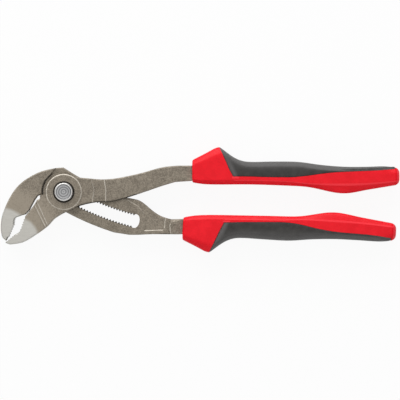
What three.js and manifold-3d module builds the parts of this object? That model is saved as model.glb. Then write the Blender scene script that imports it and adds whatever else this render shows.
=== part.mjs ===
// Slip-joint water pump pliers, 250 mm long, with a push-button box joint.
// They lie flat on the table, so the middle plane of the tool is parallel to it.
// Frame: millimetres, +Z up out of the table, +X from the pivot towards the grips,
// origin on the pivot axis at table level.
import * as THREE from 'three';
import { mergeVertices } from 'three/addons/utils/BufferGeometryUtils.js';
import Module from 'manifold-3d';

const wasm = await Module();
wasm.setup();

// Clearances
const runningGap = 0.3;
const cavityGap = 0.4;
const seatGap = 0.05;
const pressGap = 0.05;
const cutPast = 1;
const farOut = 200;

// Thicknesses across the tool
const gripDepth = 17;
const bladeThickness = 6.8;
const cheekThickness = 2.8;
const bossRise = 0.4;
const bossRadius = 11.3;
const upperJawThickness = 10;
const lowerJawThickness = 9.2;
const lowerJawStepThickness = 11.2;
const armStepThickness = 12;
const armThickness = 10.4;
const neckThickness = 8.8;
const tangThickness = 7.2;

// Curved adjusting slot of the lower lever, and the band of steel round it
const slotRadius = 165;
const slotTilt = THREE.MathUtils.degToRad(30.7);
const slotLength = 48.7;
const slotEndReach = 2.6;
const slotTipHalf = 3.2;
const toothDepth = 1.2;
const toothPitch = 1.9;
const toothedFrom = 4;
const toothedEndGap = 0.7;
const toothedTo = slotLength - toothedEndGap;
const toothedHeight = 2;
const plainHalf = 4.5;
const bandAbove = 12.8;
const bandBelow = 10.5;
const humpRise = 1;
const bandUnderFrom = -10;
const bandUnderTo = 38;
const bandOverFrom = 39;
const bandOverTo = -9;
const openingAngle = THREE.MathUtils.degToRad(40);

// Shoulder of the thick upper jaw, a clear circle round the cheek
const shoulderRadius = 13.6;

// Teeth in the mouth
const mouthPitch = 1.6;
const mouthDepth = 0.6;

// Pivot pin, guide block, button, key, clip and spring
const flangeRadius = 7.5;
const flangeThickness = 1.7;
const journalRadius = 4.5;
const spigotRadius = 2.9;
const springBoreRadius = 1.75;
const springSeat = 1.2;
const blockThickness = 1.9;
const blockLength = 11;
const buttonRadius = 5.75;
const buttonProud = 2.6;
const buttonTravel = 2.1;
const buttonRim = 0.5;
const shoulderStemRadius = 2.5;
const stemRadius = 1.5;
const stemInPin = 1.1;
const keyThickness = 1.7;
const keyLength = 12.8;
const keyToothDepth = 0.75;
const slotEndGap = 0.9;
const clipThickness = 0.5;
const clipOuterRadius = 2.4;
const clipGrooveDepth = 0.3;
const clipMouth = THREE.MathUtils.degToRad(50);
const wireRadius = 0.22;
const springRadius = 1.25;
const springTurns = 4.5;
const wireSides = 5;
const stepsPerTurn = 12;

// Grips: a red shell over the steel tang and a soft grey pad let into its outer side
const upperGripPlace = new THREE.Vector2(80.5, 11.8);
const lowerGripPlace = new THREE.Vector2(74.6, -21.8);
const lowerGripTilt = THREE.MathUtils.degToRad(-2.3);
const upperGripBow = 0;
const lowerGripBow = 1;
const upperGripWave = 0;
const lowerGripWave = 0.7;
const gripLength = 131;
const upperTailExtra = 0;
const lowerTailExtra = 3.8;
const tailStart = 95;
const gripEndRound = 3;
const padThickness = 2.4;
const tangWidth = 9.6;
const tangTipWidth = 6.6;
const tangLength = 88;
const tangDroop = 2.6;
const tangSteps = 6;
const armInGrip = 3;
const sectionPower = 3;
const ringPoints = 22;
const roundSegments = 40;

// Heights that follow from the thicknesses
const midPlane = gripDepth / 2;
const bladeTop = midPlane + bladeThickness / 2;
const bladeFloor = midPlane - bladeThickness / 2;
const cavityHalf = bladeThickness / 2 + runningGap;
const jointHalf = cavityHalf + cheekThickness;
const bossTop = midPlane + jointHalf + bossRise;
const toothFloor = bladeTop - toothedHeight;
const keyTop = bladeTop - runningGap / 3;
const keyFloor = keyTop - keyThickness;
const buttonFloor = bladeTop + buttonTravel + runningGap / 2;
const buttonTop = bossTop + buttonProud;
const blockFloor = bladeFloor + runningGap / 3;
const blockTop = blockFloor + blockThickness;
const journalTop = bladeFloor - runningGap / 2;
const flangeTop = midPlane - jointHalf - runningGap;
const flangeFloor = flangeTop - flangeThickness;
const springFloor = flangeFloor + springSeat;
const stemTip = blockTop - stemInPin;

// Solids: three.js geometry in, three.js geometry out, with joins and cuts between
function solid(geometry) {
  const bare = geometry.index ? geometry.toNonIndexed() : geometry.clone();
  bare.deleteAttribute('normal');
  bare.deleteAttribute('uv');
  const merged = mergeVertices(bare, 1e-4);
  return new wasm.Manifold(new wasm.Mesh({
    numProp: 3,
    vertProperties: new Float32Array(merged.attributes.position.array),
    triVerts: new Uint32Array(merged.index.array),
  }));
}

function geometryOf(body) {
  const mesh = body.getMesh();
  const geometry = new THREE.BufferGeometry();
  geometry.setAttribute('position', new THREE.BufferAttribute(mesh.vertProperties, 3));
  geometry.setIndex(new THREE.BufferAttribute(mesh.triVerts, 1));
  geometry.computeVertexNormals();
  return geometry;
}

// A flat outline raised between two heights
function prism(points, floor, top) {
  const outline = new THREE.Shape(points);
  const geometry = new THREE.ExtrudeGeometry(outline, { depth: top - floor, bevelEnabled: false });
  return solid(geometry.translate(0, 0, floor));
}

// A flat outline with its thickness centred on the middle plane
function slab(points, thickness) {
  return prism(points, midPlane - thickness / 2, midPlane + thickness / 2);
}

function disc(radius, floor, top, segments = roundSegments) {
  const geometry = new THREE.CylinderGeometry(radius, radius, top - floor, segments);
  return solid(geometry.rotateX(Math.PI / 2).translate(0, 0, (floor + top) / 2));
}

// A turned piece: [radius, height] pairs round the pivot axis
function turned(profile, segments = roundSegments) {
  const points = profile.map(([radius, height]) => new THREE.Vector2(radius, height));
  return solid(new THREE.LatheGeometry(points, segments).rotateX(Math.PI / 2));
}

const at = (x, y) => new THREE.Vector2(x, y);

// A straight-sided run through a few points
function straight(points) {
  return points.map(([x, y]) => at(x, y));
}

// A smooth run through a few points
function flowing(points, steps) {
  return new THREE.SplineCurve(straight(points)).getPoints(steps);
}

// An arc round the pivot, from one angle to another, in degrees
function pivotArc(radius, from, to, steps) {
  const run = [];
  for (let i = 0; i <= steps; i += 1) {
    const turn = THREE.MathUtils.degToRad(from + ((to - from) * i) / steps);
    run.push(at(radius * Math.cos(turn), radius * Math.sin(turn)));
  }
  return run;
}

// Small teeth along a straight run, cut in to its right-hand side
function toothed(points) {
  const [start, end] = straight(points);
  const run = end.clone().sub(start);
  const count = Math.max(1, Math.round(run.length() / mouthPitch));
  const inward = at(run.y, -run.x).setLength(mouthDepth);
  const edge = [];
  for (let i = 0; i < count; i += 1) {
    edge.push(start.clone().addScaledVector(run, i / count));
    edge.push(start.clone().addScaledVector(run, (i + 0.5) / count).add(inward));
  }
  return edge;
}

// A place on the lever's curved band: along the slot from the pivot, and above its centre line
const slotCentre = at(slotRadius * Math.sin(slotTilt), slotRadius * Math.cos(slotTilt));
function onBand(along, above) {
  const turn = slotTilt - along / slotRadius;
  const reach = slotRadius - above;
  return at(slotCentre.x - reach * Math.sin(turn), slotCentre.y - reach * Math.cos(turn));
}

function bandRun(from, to, above, steps) {
  const run = [];
  for (let i = 0; i <= steps; i += 1) run.push(onBand(from + ((to - from) * i) / steps, above));
  return run;
}

// The slot's outline, with flattened round ends, and teeth where it has them
function slotOutline(half, depth) {
  const start = -(keyLength / 2 + slotEndGap);
  const count = Math.floor((toothedTo - toothedFrom) / toothPitch);
  const edge = (side) => {
    if (!depth) return bandRun(toothedFrom, toothedTo, side * half, 10);
    const points = [onBand(toothedFrom, side * half)];
    for (let i = 0; i < count; i += 1) {
      points.push(onBand(toothedFrom + (i + 0.5) * toothPitch, side * (half - depth)));
      points.push(onBand(toothedFrom + (i + 1) * toothPitch, side * half));
    }
    return points;
  };
  const end = (along, side) => {
    const points = [];
    for (let i = 0; i <= 8; i += 1) {
      const turn = Math.PI * (i / 8 - 0.5) * side;
      points.push(onBand(along + side * slotEndReach * Math.cos(turn), half * Math.sin(turn)));
    }
    return points;
  };
  return [...edge(-1), ...end(slotLength, 1), ...edge(1).reverse(), ...end(start, -1)];
}

// Colours and finishes
const forgedSteel = new THREE.MeshStandardMaterial({ color: 0x857c70, roughness: 0.55, metalness: 0.8 });
const brightSteel = new THREE.MeshStandardMaterial({ color: 0xa6a7a8, roughness: 0.35, metalness: 0.9 });
const springSteel = new THREE.MeshStandardMaterial({ color: 0x8c8e92, roughness: 0.4, metalness: 0.9 });
const redPlastic = new THREE.MeshStandardMaterial({ color: 0xe02432, roughness: 0.4, metalness: 0 });
const greyRubber = new THREE.MeshStandardMaterial({ color: 0x4a4745, roughness: 0.75, metalness: 0 });

const pliers = new THREE.Group();

function add(name, body, material) {
  const mesh = new THREE.Mesh(geometryOf(body), material);
  mesh.name = name;
  pliers.add(mesh);
}

// Grip outlines, along the grip from its front face and out from the middle of the tang
const gripOuter = [
  [0, 8.2], [9, 12.8], [15.5, 16.2], [18, 16.2], [24.9, 10.9], [32.5, 7.5],
  [50, 7.4], [67, 7.2], [81, 5.3], [96, 4.1], [111, 4.1], [122, 4.4], [gripLength, 3.1],
];
const gripInner = [
  [0, -5.8], [9, -7], [37, -7.1], [61, -7.9], [74, -8.8], [95, -12.8], [111, -10.4], [gripLength, -7.1],
];
const gripSlimming = [[0, 0.9], [17, 0], [33, 0.9], [66, 0.7], [95, 0], [111, 0.6], [gripLength, 1.5]];
const padEdge = [
  [17.4, 15.6], [20.6, 8.9], [23.4, 2.2], [25.6, -1.5], [31, -1.8], [46, -2.1],
  [61, -2.5], [72, -1.3], [87, 0.9], [107, 1.5], [118, 2.4], [127, 4.6],
];
const gripStations = [
  0, 4, 9, 13, 16, 18.5, 21.5, 25, 29, 33, 42, 52, 62, 72, 81, 88, 95, 102, 111, 120,
  gripLength - gripEndRound,
];

// Reads a smooth edge at one place along it
function edgeReader(points) {
  const run = flowing(points, points.length * 12);
  return (along) => {
    const next = Math.max(1, run.findIndex((point) => point.x >= along));
    const [a, b] = [run[next - 1], run[next]];
    return THREE.MathUtils.mapLinear(along, a.x, b.x, a.y, b.y);
  };
}

const outerAt = edgeReader(gripOuter);
const innerAt = edgeReader(gripInner);
const slimmingAt = edgeReader(gripSlimming);

// One grip: place, tilt, the side it faces (1 up, -1 down), its bow and wave inwards and its longer tail
function gripFrame(place, tilt, side, bow, wave, tailExtra) {
  const tailLength = gripLength - tailStart;
  const toPlan = (along, out) => {
    const turn = (Math.PI * Math.min(along, gripLength)) / gripLength;
    const bent = out - bow * Math.sin(turn) - wave * Math.sin(2 * turn);
    const reach = along + (Math.max(0, along - tailStart) * tailExtra) / tailLength;
    return at(reach, side * bent).rotateAround(at(0, 0), tilt).add(place);
  };
  return { toPlan, side };
}

// An outline given along and out from a grip, set in place and always running the same way round
function inPlan({ toPlan, side }, points) {
  const plan = points.map(([along, out]) => toPlan(along, out));
  return side > 0 ? plan : plan.reverse();
}

// The grip's rounded body, drawn in by an inset on every side but its open front
function gripBody({ toPlan, side }, inset) {
  const rings = gripStations.map((along) => [along, inset]);
  rings.push([gripLength - gripEndRound / 3 - inset, inset + gripEndRound / 4]);
  rings.push([gripLength - inset, inset + gripEndRound]);
  const vertices = [];
  for (const [along, drawn] of rings) {
    const place = Math.min(along, gripLength - gripEndRound / 3);
    const outer = outerAt(place) - drawn;
    const inner = innerAt(place) + drawn;
    const half = gripDepth / 2 - slimmingAt(place) - drawn;
    for (let i = 0; i < ringPoints; i += 1) {
      const turn = (2 * Math.PI * i) / ringPoints;
      const across = Math.sign(Math.cos(turn)) * Math.abs(Math.cos(turn)) ** (2 / sectionPower);
      const deep = Math.sign(Math.sin(turn)) * Math.abs(Math.sin(turn)) ** (2 / sectionPower);
      const plan = toPlan(along, (outer + inner) / 2 + (across * (outer - inner)) / 2);
      vertices.push(plan.x, plan.y, midPlane + deep * half);
    }
  }
  const faces = [];
  const face = (a, b, c) => (side > 0 ? faces.push(a, b, c) : faces.push(a, c, b));
  for (let ring = 0; ring + 1 < rings.length; ring += 1) {
    for (let i = 0; i < ringPoints; i += 1) {
      const a = ring * ringPoints + i;
      const b = ring * ringPoints + ((i + 1) % ringPoints);
      face(a, b, b + ringPoints);
      face(a, b + ringPoints, a + ringPoints);
    }
  }
  const last = (rings.length - 1) * ringPoints;
  for (let i = 1; i + 1 < ringPoints; i += 1) {
    face(0, i + 1, i);
    face(last, last + i, last + i + 1);
  }
  const geometry = new THREE.BufferGeometry();
  geometry.setAttribute('position', new THREE.Float32BufferAttribute(vertices, 3));
  geometry.setIndex(faces);
  return solid(geometry);
}

// The area that the pad covers, seen from above, grown by a gap past its edge
function padArea(frame, grow) {
  const beyond = gripDepth * 2;
  const edge = flowing(padEdge, padEdge.length * 3).map((point) => [point.x - grow, point.y - grow]);
  const front = edge[0][0] - grow;
  const rear = edge[edge.length - 1][0] + 2 * grow;
  return inPlan(frame, [[front, beyond], ...edge, [rear, beyond]]);
}

// The tang inside the grip, tapering to its tip, grown by a gap all round
function tangOutline(frame, grow) {
  const under = [];
  const over = [];
  for (let i = 0; i <= tangSteps; i += 1) {
    const share = i / tangSteps;
    const along = THREE.MathUtils.lerp(-grow, tangLength + grow, share);
    const half = THREE.MathUtils.lerp(tangWidth, tangTipWidth, share) / 2 + grow;
    under.push([along, -tangDroop * share - half]);
    over.push([along, -tangDroop * share + half]);
  }
  return inPlan(frame, [...under, ...over.reverse()]);
}

const upperGrip = gripFrame(upperGripPlace, 0, 1, upperGripBow, upperGripWave, upperTailExtra);
const lowerGrip = gripFrame(lowerGripPlace, lowerGripTilt, -1, lowerGripBow, lowerGripWave, lowerTailExtra);

function addGrip(name, frame, armHere) {
  const body = gripBody(frame, 0);
  const pad = prism(padArea(frame, 0), -gripDepth, 2 * gripDepth);
  const padPocket = prism(padArea(frame, runningGap), -gripDepth, 2 * gripDepth);
  const core = gripBody(frame, padThickness);
  const backing = gripBody(frame, padThickness + runningGap);
  const tangPocket = slab(tangOutline(frame, runningGap), tangThickness + 2 * runningGap);
  const mouthDeep = armInGrip + runningGap;
  const mouthOutline = inPlan(frame, [
    [-cutPast, -tangWidth], [mouthDeep, -tangWidth], [mouthDeep, tangWidth], [-cutPast, tangWidth],
  ]);
  const mouth = slab(mouthOutline, armHere + 2 * runningGap)
    .intersect(slab(tangOutline(frame, runningGap), gripDepth));
  const shell = body.subtract(padPocket.subtract(backing)).subtract(tangPocket).subtract(mouth);
  add(`${name}_shell`, shell, redPlastic);
  add(`${name}_pad`, body.intersect(pad).subtract(core), greyRubber);
}

// Upper lever: arm, two joint cheeks and the lower jaw, with a slot between the cheeks
const lowerTip = [[-36.8, -32.1]];
const lowerTipTeeth = [[-36.2, -31], [-31.4, -27]];
const lowerMouthHollow = [[-31.4, -27], [-29, -25.8], [-27.6, -24.6]];
const lowerMouthTeeth = [[-27.4, -23.4], [-24.9, -15.9]];
const lowerMouthBack = [[-24.5, -15.4], [-19.1, -8.6], [-17.4, -6.2]];
const lowerMouthRoot = [[-16.9, -5], [-15.6, -4.6], [-14.9, -3.6], [-15.2, -2.6]];
const cheekFront = 187;
const cheekBack = 60;
const armTop = [[9.4, 9.1], [16.2, 8.5], [24.4, 7.9], [34, 8.8], [47.8, 11.7], [61.6, 15.5], [72, 16.6]];
const armBottom = [
  [70, 6.3], [61.6, 3.8], [50.3, -0.1], [40.1, -3.4], [30.4, -6], [21, -6.4], [10, -8.7],
  [-0.4, -13.3], [-6.2, -16.9], [-10.3, -21.3], [-16, -25.7], [-25.6, -31.6], [-34, -33.1],
];

// What the lower lever sweeps between the cheeks: its band shut, its band fully open, and between
function bandSweep(turn) {
  const reach = slotLength + bandAbove * 2;
  const points = [
    ...bandRun(-reach, reach, -(bandBelow + cavityGap), 24),
    ...bandRun(reach, -reach, bandAbove + humpRise + cavityGap, 24),
  ];
  return points.map((point) => point.rotateAround(at(0, 0), -turn));
}

// Where the faces step down: everything beyond a step line towards the jaw, and towards the arm
function jawBeyond(points) {
  const line = straight(points);
  const [top, bottom] = [line[0], line[line.length - 1]];
  return [at(-farOut, -farOut), at(bottom.x, -farOut), ...line.reverse(), at(-farOut, top.y)];
}

function armBeyond(points) {
  const line = straight(points);
  const [top, bottom] = [line[0], line[line.length - 1]];
  return [at(bottom.x, -farOut), at(farOut, -farOut), at(farOut, farOut), at(top.x, farOut), ...line];
}

const jawFirstStep = [[-16.9, -6.7], [-9.9, -22.2]];
const jawSecondStep = [[-18.6, -8.4], [-11.3, -23]];
const armFirstStep = [[17.2, 9], [19.3, 1.4], [18.2, -7]];
const armSecondStep = [[25.7, 8], [26.7, 1.4], [26.6, -7]];

// The quarter round the pivot that the upper jaw's root swings through, in degrees
const cavityFrom = 85;
const cavityTo = 185;

// Both faces of a body brought in to a thickness, inside an outline
function thinned(body, outline, thickness) {
  const above = prism(outline, midPlane + thickness / 2, midPlane + gripDepth);
  const below = prism(outline, midPlane - gripDepth, midPlane - thickness / 2);
  return body.subtract(above).subtract(below);
}

function addUpperLever() {
  const armOver = upperGrip.toPlan(armInGrip, tangWidth / 2);
  const armUnder = upperGrip.toPlan(armInGrip, -tangWidth / 2);
  const outline = [
    ...flowing(armBottom, 40),
    ...straight(lowerTip),
    ...toothed(lowerTipTeeth),
    ...flowing(lowerMouthHollow, 4),
    ...toothed(lowerMouthTeeth),
    ...straight(lowerMouthBack),
    ...flowing(lowerMouthRoot, 6),
    ...pivotArc(bossRadius, cheekFront, cheekBack, 20),
    ...flowing(armTop, 22),
    upperGrip.toPlan(0, tangWidth / 2),
    armOver,
    armUnder,
    upperGrip.toPlan(0, -tangWidth / 2),
  ];
  let body = slab(outline, 2 * jointHalf);
  body = thinned(body, jawBeyond(jawFirstStep), lowerJawStepThickness);
  body = thinned(body, jawBeyond(jawSecondStep), lowerJawThickness);
  body = thinned(body, armBeyond(armFirstStep), armStepThickness);
  body = thinned(body, armBeyond(armSecondStep), armThickness);
  body = body.add(disc(bossRadius, midPlane, bossTop, 2 * roundSegments));
  body = body.add(slab(tangOutline(upperGrip, 0), tangThickness));
  const cavity = slab(bandSweep(0), 2 * cavityHalf)
    .add(slab(bandSweep(openingAngle), 2 * cavityHalf))
    .add(slab([at(0, 0), ...pivotArc(bossRadius * 2, cavityFrom, cavityTo, 12)], 2 * cavityHalf));
  body = body.subtract(cavity);
  body = body.subtract(disc(buttonRadius + runningGap, midPlane, bossTop + cutPast));
  body = body.subtract(disc(journalRadius + runningGap, flangeFloor, midPlane));
  add('upper_lever', body, forgedSteel);
}

// Lower lever: thick upper jaw, thin slotted band through the joint, neck and tang
const jawBack = [
  [-36.6, -30.6], [-39, -27.9], [-39.8, -21.5], [-38.5, -13.5],
  [-33.3, -2.1], [-26.6, 6], [-15.8, 12.4], [-5.2, 15.1],
];
const upperMouthRoot = [
  [-15.2, -2], [-16.7, -2.4], [-18.5, -4.9], [-22.1, -11.6], [-24.5, -14.1], [-27, -14.8],
];
const upperMouthHollow = [[-30.2, -16], [-31.2, -17], [-31.6, -19.8]];
const upperTipTeeth = [[-31.6, -20.9], [-35.2, -29.4]];
const hump = [[44, -4.4], [47.5, -5.4], [51.2, -7.9], [56, -12], [61.3, -15.3], [67.5, -17.2]];
const neckUnder = [[72, -26.7], [56, -26.6], [46.5, -27], [41, -27]];
const neckFront = [[67.5, -17.2], [66.2, -21], [66.8, -26.6]];
const shoulderFront = 182;
const shoulderBack = 129;

function addLowerLever() {
  const jawMouth = [
    ...straight(upperMouthRoot),
    ...flowing(upperMouthHollow, 4),
    ...toothed(upperTipTeeth),
  ].reverse();
  const outline = [
    ...bandRun(bandUnderFrom, bandUnderTo, -bandBelow, 18),
    ...flowing(neckUnder, 6).reverse(),
    lowerGrip.toPlan(0, tangWidth / 2),
    lowerGrip.toPlan(0, -tangWidth / 2),
    ...flowing(hump, 14).reverse(),
    ...bandRun(bandOverFrom, bandOverTo, bandAbove, 14),
    ...flowing(jawBack, 26).reverse(),
    ...jawMouth,
  ];
  const neckOut = lowerGrip.toPlan(armInGrip, tangWidth / 2);
  const neckIn = lowerGrip.toPlan(armInGrip, -tangWidth / 2);
  const jaw = [
    ...flowing(jawBack, 26).reverse(),
    ...jawMouth.slice(0, -1),
    ...pivotArc(shoulderRadius, shoulderFront, shoulderBack, 10),
  ];
  let body = slab(outline, bladeThickness);
  body = body.add(slab(jaw, upperJawThickness));
  body = body.add(slab([...straight(neckFront), neckOut, neckIn], neckThickness));
  body = body.add(slab(tangOutline(lowerGrip, 0), tangThickness));
  body = body.subtract(slab(slotOutline(slotTipHalf + toothDepth, toothDepth), 2 * gripDepth));
  body = body.subtract(prism(slotOutline(plainHalf, 0), midPlane - gripDepth, toothFloor));
  add('lower_lever', body, forgedSteel);
}

// Pivot pin: rear flange, journal in the rear cheek, spigot in the block, and the spring's bore
function addPivotPin() {
  const body = turned([
    [0, flangeFloor], [flangeRadius - buttonRim, flangeFloor], [flangeRadius, flangeFloor + buttonRim],
    [flangeRadius, flangeTop], [journalRadius, flangeTop], [journalRadius, journalTop],
    [spigotRadius, journalTop], [spigotRadius, blockTop], [springBoreRadius, blockTop],
    [springBoreRadius, springFloor], [0, springFloor],
  ]);
  add('pivot_pin', body, brightSteel);
}

// A block with flat flanks that follow the slot's direction at the pivot
function slotBlock(length, half, floor, top) {
  const nose = half / 2;
  const points = [
    [-length / 2, -nose], [-length / 2 + nose, -half], [length / 2 - nose, -half], [length / 2, -nose],
    [length / 2, nose], [length / 2 - nose, half], [-length / 2 + nose, half], [-length / 2, nose],
  ];
  return prism(points.map(([along, out]) => at(along, out).rotateAround(at(0, 0), -slotTilt)), floor, top);
}

function addGuideBlock() {
  const body = slotBlock(blockLength, plainHalf - runningGap, blockFloor, blockTop);
  add('guide_block', body.subtract(disc(spigotRadius + pressGap, 0, gripDepth)), brightSteel);
}

// Locking key: its teeth point at the slot's teeth and stop a running gap short of them
function addLockingKey() {
  const half = slotTipHalf - runningGap;
  let body = slotBlock(keyLength, half, keyFloor, keyTop);
  const count = Math.floor((keyLength - 2 * half) / toothPitch);
  for (const side of [-1, 1]) {
    for (let i = 0; i < count; i += 1) {
      const middle = (i - (count - 1) / 2) * toothPitch;
      const wide = side * (half + cutPast);
      const deep = side * (half - keyToothDepth);
      const points = [[middle - toothPitch / 3, wide], [middle, deep], [middle + toothPitch / 3, wide]];
      const notch = points.map(([along, out]) => at(along, out).rotateAround(at(0, 0), -slotTilt));
      body = body.subtract(slab(side > 0 ? notch : notch.reverse(), 2 * gripDepth));
    }
  }
  add('locking_key', body.subtract(disc(stemRadius + pressGap, 0, 2 * gripDepth)), brightSteel);
}

// Push button: dished head in the front cheek's bore, on a stem that carries the key
function addPushButton() {
  const grooveTop = keyFloor - seatGap;
  const grooveFloor = grooveTop - clipThickness - 2 * seatGap;
  const groove = stemRadius - clipGrooveDepth;
  const body = turned([
    [0, stemTip], [stemRadius, stemTip], [stemRadius, grooveFloor], [groove, grooveFloor],
    [groove, grooveTop], [stemRadius, grooveTop], [stemRadius, keyTop + seatGap],
    [shoulderStemRadius, keyTop + seatGap], [shoulderStemRadius, buttonFloor],
    [buttonRadius, buttonFloor], [buttonRadius, buttonTop - buttonRim], [buttonRadius - buttonRim, buttonTop],
    [buttonRadius - 3 * buttonRim, buttonTop - buttonRim / 3], [0, buttonTop - buttonRim],
  ]);
  add('push_button', body, brightSteel);
}

// Open clip in the stem's groove, which holds the key up against the stem's shoulder
function addKeyClip() {
  const inner = stemRadius - clipGrooveDepth + pressGap;
  const top = keyFloor - 2 * seatGap;
  const steps = 20;
  const outside = [];
  const inside = [];
  for (let i = 0; i <= steps; i += 1) {
    const turn = clipMouth / 2 + ((2 * Math.PI - clipMouth) * i) / steps;
    outside.push(at(clipOuterRadius * Math.cos(turn), clipOuterRadius * Math.sin(turn)));
    inside.push(at(inner * Math.cos(turn), inner * Math.sin(turn)));
  }
  add('key_clip', prism([...outside, ...inside.reverse()], top - clipThickness, top), brightSteel);
}

// Button spring in the pin's bore, one unbroken wire
function addButtonSpring() {
  class Coil extends THREE.Curve {
    getPoint(share) {
      const turn = 2 * Math.PI * springTurns * share;
      const low = springFloor + seatGap + wireRadius;
      const high = stemTip - seatGap - wireRadius;
      return new THREE.Vector3(
        springRadius * Math.cos(turn),
        springRadius * Math.sin(turn),
        THREE.MathUtils.lerp(low, high, share),
      );
    }
  }
  const wire = new THREE.Shape();
  for (let i = 0; i < wireSides; i += 1) {
    const turn = (2 * Math.PI * i) / wireSides;
    const point = at(wireRadius * Math.cos(turn), wireRadius * Math.sin(turn));
    if (i === 0) wire.moveTo(point.x, point.y);
    else wire.lineTo(point.x, point.y);
  }
  const coil = new Coil();
  const steps = Math.round(springTurns * stepsPerTurn);
  const geometry = new THREE.ExtrudeGeometry(wire, { steps, extrudePath: coil, bevelEnabled: false });
  const gap = coil.getPoint(1 / springTurns).distanceTo(coil.getPoint(0)) - 2 * wireRadius;
  console.log(`button_spring least gap between turns ${gap.toFixed(2)} mm`);
  add('button_spring', solid(geometry), springSteel);
}

addUpperLever();
addLowerLever();
addPivotPin();
addGuideBlock();
addLockingKey();
addPushButton();
addKeyClip();
addButtonSpring();
addGrip('upper_grip', upperGrip, armThickness);
addGrip('lower_grip', lowerGrip, neckThickness);

export default pliers;
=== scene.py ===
import math

import bmesh
import bpy
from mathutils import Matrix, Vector
from mathutils.geometry import intersect_point_line
from mathutils.kdtree import KDTree


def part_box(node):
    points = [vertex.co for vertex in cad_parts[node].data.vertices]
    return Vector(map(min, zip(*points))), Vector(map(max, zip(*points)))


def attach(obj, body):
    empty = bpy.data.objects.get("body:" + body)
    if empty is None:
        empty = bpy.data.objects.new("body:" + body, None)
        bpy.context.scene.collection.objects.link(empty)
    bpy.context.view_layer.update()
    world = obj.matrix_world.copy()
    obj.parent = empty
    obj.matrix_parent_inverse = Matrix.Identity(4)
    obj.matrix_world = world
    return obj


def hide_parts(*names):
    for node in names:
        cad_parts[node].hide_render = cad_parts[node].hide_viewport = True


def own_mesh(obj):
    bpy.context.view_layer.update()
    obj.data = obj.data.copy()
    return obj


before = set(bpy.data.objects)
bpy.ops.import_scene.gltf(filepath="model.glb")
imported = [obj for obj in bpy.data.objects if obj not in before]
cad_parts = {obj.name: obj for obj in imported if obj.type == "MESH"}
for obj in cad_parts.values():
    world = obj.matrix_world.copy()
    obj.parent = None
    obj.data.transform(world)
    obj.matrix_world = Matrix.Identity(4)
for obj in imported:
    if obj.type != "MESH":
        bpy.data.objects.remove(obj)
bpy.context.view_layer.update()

# Upper lever: one forging of tool steel with the arm, both cheeks of the box joint and the lower jaw.
# Its flats are milled in steps whose edges are rubbed bright, and the jaw's end is ground.
# Shade is painted dark along the arm's lower edge over the band and round the button's bore.
mm = 0.001
MID_PLANE = 8.5
FORGED_DARK = (0.14, 0.118, 0.09, 1)
FORGED_LIGHT = (0.325, 0.281, 0.222, 1)
GROUND_DARK = (0.42, 0.407, 0.37, 1)
GROUND_LIGHT = (0.60, 0.585, 0.54, 1)
RUBBED_STEEL = (0.60, 0.55, 0.47, 1)
# Painted shade: the dark colour laid on faces where shade falls
PAINTED_SHADE_STEEL = (0.022, 0.018, 0.014, 1)
LOWER_JAW_GROUND = (-29.7, -29.2, 13.4)
LOWER_GRIND_TURN = 40
GRIND_FADE = 1.3
GRIND_STRETCH = (260, 5200, 260)
PATCH_SCALE = 130
MARK_SCALE = 420
GRAIN_SCALE = 1500
PATCH_SHARE = 0.15
GRAIN_SHARE = 0.65
MARK_SHARE = 0.2
GRAIN_RELIEF = 0.6
MARK_RELIEF = 0.7
RAGGED_EDGE = 1.2
FORGED_SPAN = (0.39, 0.61)
FORGED_ROUGHNESS = (0.62, 0.44)
FORGED_METAL = (0.5, 0.25)
GROUND_POLISH = 0.12
STEP_HEIGHT = 1.4
STEP_SLOPE = 0.6
STEP_CHAMFER = 0.3
EDGE_ROUND = 0.8
EDGE_WEAR = 0.12
ROUND_SHARES = (0.14, 0.45, 1.0)
BOSS_FLOOR = 15.0
BOSS_RIM = 9.0
BORE_RIM = 7.4
BORE_ABOVE = 4
# Painted light over each jaw: the steel is lightened out past its ground end
JAW_LIGHT_REACH = 14
JAW_LIGHT_FADE = 9
JAW_LIGHT_SHARE = 0.115
TOOTH_EDGE = 1.5
TOOTH_TURN = 28
FIRST_STEP = (15, 22)
FIRST_STEP_RUBBED = 0.7
# Painted shade along the arm's lower edge (its span, its facing, how dark its side and top get) and
# round the bore
SHADED_EDGE_SPAN = (3, 47)
SHADED_FACING = -0.5
BORE_PAINTED_SHADE = 0.9
SIDE_PAINTED_SHADE = 0.85
TOP_PAINTED_SHADE = 0.35
SIDE_TILT = 0.8
RING_OUTSIDE = 11.8
UPRIGHT = 0.2
LEVEL = 0.98
SLOPING = 0.97
SAME_FACING = 0.98
SLOPE_FACING = 0.8
ACROSS_FLAT = 0.6
ROOM_SHARE = 0.45
NEARLY_PARALLEL = 0.15
MARGIN = 0.1
SLACK = 0.01
SAME_PLACE = 0.004
MERGED_WITHIN = 0.03
TOUCHING = 0.002
SLICED_WITHIN = 0.001
FLAT_WITHIN = 0.5
FORGED_SMOOTH = 40
NORMAL_WEIGHT = 80
CLEAR_OF_ALL = 20


def pick(piece):
    """Selects one piece and nothing else"""
    bpy.ops.object.select_all(action="DESELECT")
    piece.select_set(True)
    bpy.context.view_layer.objects.active = piece


def open_for_edit(piece, mode="EDGE"):
    pick(piece)
    bpy.ops.object.mode_set(mode="EDIT")
    bpy.ops.mesh.select_mode(type=mode)
    bpy.ops.mesh.select_all(action="DESELECT")


def close_edit():
    bpy.ops.object.mode_set(mode="OBJECT")


def apply_modifier(piece, kind, **settings):
    pick(piece)
    modifier = piece.modifiers.new(kind.lower(), kind)
    for setting, value in settings.items():
        setattr(modifier, setting, value)
    bpy.ops.object.modifier_apply(modifier=modifier.name)


def smooth(piece, degrees):
    pick(piece)
    bpy.ops.object.shade_smooth_by_angle(angle=math.radians(degrees))


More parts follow.
